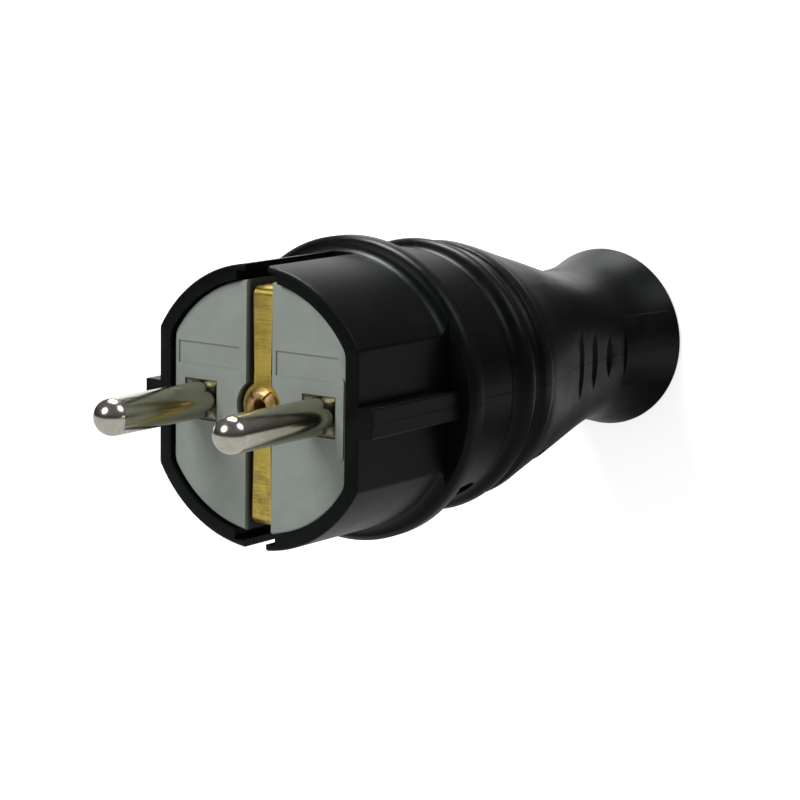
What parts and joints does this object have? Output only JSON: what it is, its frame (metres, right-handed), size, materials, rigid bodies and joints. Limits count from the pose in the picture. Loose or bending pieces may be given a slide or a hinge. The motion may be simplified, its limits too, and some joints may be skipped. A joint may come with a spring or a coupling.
{
  "type": "type f plug",
  "caption": "Straight rewirable two-pin mains plug with earth contacts at its sides and a waisted grip, split lengthwise and screwed together.",
  "frame": {"origin": "on the table under the plug's axis, in the plane that the tail's rim stands on", "axes": "+Z from the tail up to the pins along the plug's axis, +X to the right as the picture's viewer sees the pins, +Y towards the half of the shell that is uppermost in the picture"},
  "size_m": [0.0404, 0.0404, 0.1018],
  "materials": {
    "black_shell": "satin moulded plastic",
    "grey_carrier": "fine moulded texture",
    "plated_pin": "nickel plated, softly polished",
    "brass_strap": "rolled strip",
    "copper_rivet": "drawn tube, darker than the strap",
    "zinc_steel": "zinc plated"
  },
  "bodies": {
    "root": {"upper_shell": "black_shell", "lower_shell": "black_shell", "pin_carrier": "grey_carrier", "left_pin": "plated_pin", "right_pin": "plated_pin", "earth_strap": "brass_strap", "earth_rivet": "copper_rivet", "earth_terminal": "brass_strap", "earth_washer": "zinc_steel", "earth_screw": "zinc_steel", "cord_clamp": "grey_carrier", "left_pin_screw": "zinc_steel", "right_pin_screw": "zinc_steel", "left_clamp_screw": "zinc_steel", "right_clamp_screw": "zinc_steel", "shell_screw_drum_left": "zinc_steel", "shell_screw_grip_left": "zinc_steel", "shell_screw_drum_right": "zinc_steel", "shell_screw_grip_right": "zinc_steel", "shell_nut_drum_left": "zinc_steel", "shell_nut_grip_left": "zinc_steel", "shell_nut_drum_right": "zinc_steel", "shell_nut_grip_right": "zinc_steel"}
  },
  "joints": []
}
